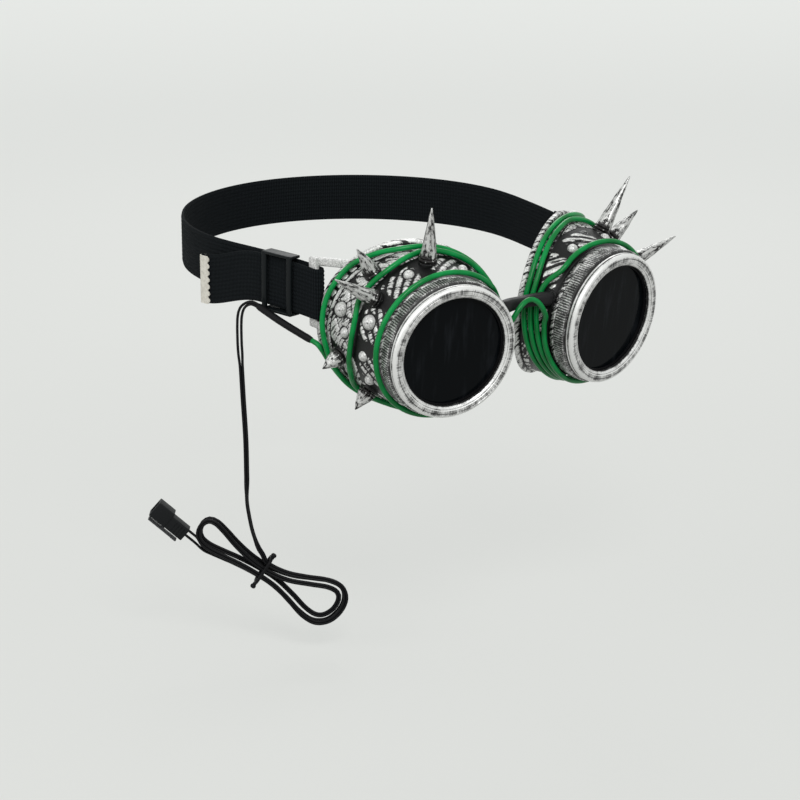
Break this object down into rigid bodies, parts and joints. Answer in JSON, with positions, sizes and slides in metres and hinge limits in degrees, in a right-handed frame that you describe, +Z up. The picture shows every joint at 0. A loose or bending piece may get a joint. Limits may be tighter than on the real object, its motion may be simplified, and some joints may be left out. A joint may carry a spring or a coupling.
{
  "type": "costume goggles",
  "caption": "Costume goggles with deep round cups, screw-on black lenses, cone spikes, a glowing wire trim, an elastic head strap and a hanked lead with a plug.",
  "frame": {"origin": "back of the bridge over the nose, where the goggles sit on a wearer", "axes": "+X to the wearer's left, +Y backwards through the head towards the back of the strap, +Z up"},
  "size_m": [0.2143, 0.2146, 0.1984],
  "materials": {
    "cup": "black with silver rubbed over the raised parts",
    "ring": "antique silver plating over plastic",
    "spike": "antique silver plating over plastic",
    "screw": "zinc-plated pan-head screw",
    "lens": "polished near-black lens",
    "gasket": "matt",
    "bridge": "black with a little silver rubbed on",
    "el_wire": "translucent green sheath over a glowing core",
    "end_cap": "heat-shrink end cap",
    "sleeve": "heat-shrink sleeve",
    "strap": "ribbed woven elastic",
    "slider": "moulded black",
    "clamp": "pale coated sheet",
    "lead": "PVC twin lead",
    "tie": "plastic-covered tie",
    "plug": "moulded nylon",
    "contact": "pressed and tinned"
  },
  "bodies": {
    "frame": {"right_cup": "cup", "right_spike_1": "spike", "right_spike_screw_1": "screw", "right_spike_2": "spike", "right_spike_screw_2": "screw", "right_spike_3": "spike", "right_spike_screw_3": "screw", "right_spike_4": "spike", "right_spike_screw_4": "screw", "right_spike_5": "spike", "right_spike_screw_5": "screw", "right_bridge_screw": "screw", "left_cup": "cup", "left_spike_1": "spike", "left_spike_screw_1": "screw", "left_spike_2": "spike", "left_spike_screw_2": "screw", "left_spike_3": "spike", "left_spike_screw_3": "screw", "left_spike_4": "spike", "left_spike_screw_4": "screw", "left_spike_5": "spike", "left_spike_screw_5": "screw", "left_bridge_screw": "screw", "bridge": "bridge", "el_wire": "el_wire", "el_wire_end_cap": "end_cap", "heat_shrink_sleeve": "sleeve", "strap": "strap", "strap_end_clamp": "clamp", "lead": "lead", "lead_hank": "lead", "hank_tie": "tie", "connector_housing": "plug", "connector_contact_1": "contact", "connector_contact_2": "contact"},
    "right_lens_unit": {"right_lens": "lens", "right_lens_gasket": "gasket"},
    "right_ring": {"right_lens_ring": "ring"},
    "left_lens_unit": {"left_lens": "lens", "left_lens_gasket": "gasket"},
    "left_ring": {"left_lens_ring": "ring"},
    "slider": {"strap_slider": "slider"},
    "latch": {"connector_latch": "plug"}
  },
  "joints": [
    {"name": "right_lens_slide", "type": "slide", "parent": "frame", "child": "right_lens_unit", "axis": [-0.1518, -0.9803, -0.1264], "range_m": [0, 0.006]},
    {"name": "right_ring_turn", "type": "hinge", "parent": "right_lens_unit", "child": "right_ring", "pos_m": [-0.0441, -0.0085, -0.01], "axis": [-0.1518, -0.9803, -0.1264], "range_deg": [0, 720]},
    {"name": "left_lens_slide", "type": "slide", "parent": "frame", "child": "left_lens_unit", "axis": [0.1518, -0.9803, -0.1264], "range_m": [0, 0.006]},
    {"name": "left_ring_turn", "type": "hinge", "parent": "left_lens_unit", "child": "left_ring", "pos_m": [0.0441, -0.0085, -0.01], "axis": [0.1518, -0.9803, -0.1264], "range_deg": [0, 720]},
    {"name": "slider_slide", "type": "slide", "parent": "frame", "child": "slider", "axis": [-0.17, 0.9844, 0.0458], "range_m": [-0.006, 0.004]},
    {"name": "latch_press", "type": "hinge", "parent": "frame", "child": "latch", "pos_m": [-0.11365, 0.10941, -0.10432], "axis": [-0.6129, -0.7902, 0], "range_deg": [0, 6], "stiffness_Nm_per_rad": 0.02}
  ],
  "couplings": [
    {"joint": "right_lens_slide", "follows": "right_ring_turn", "m_per_rad": 0.00047746},
    {"joint": "left_lens_slide", "follows": "left_ring_turn", "m_per_rad": 0.00047746}
  ]
}
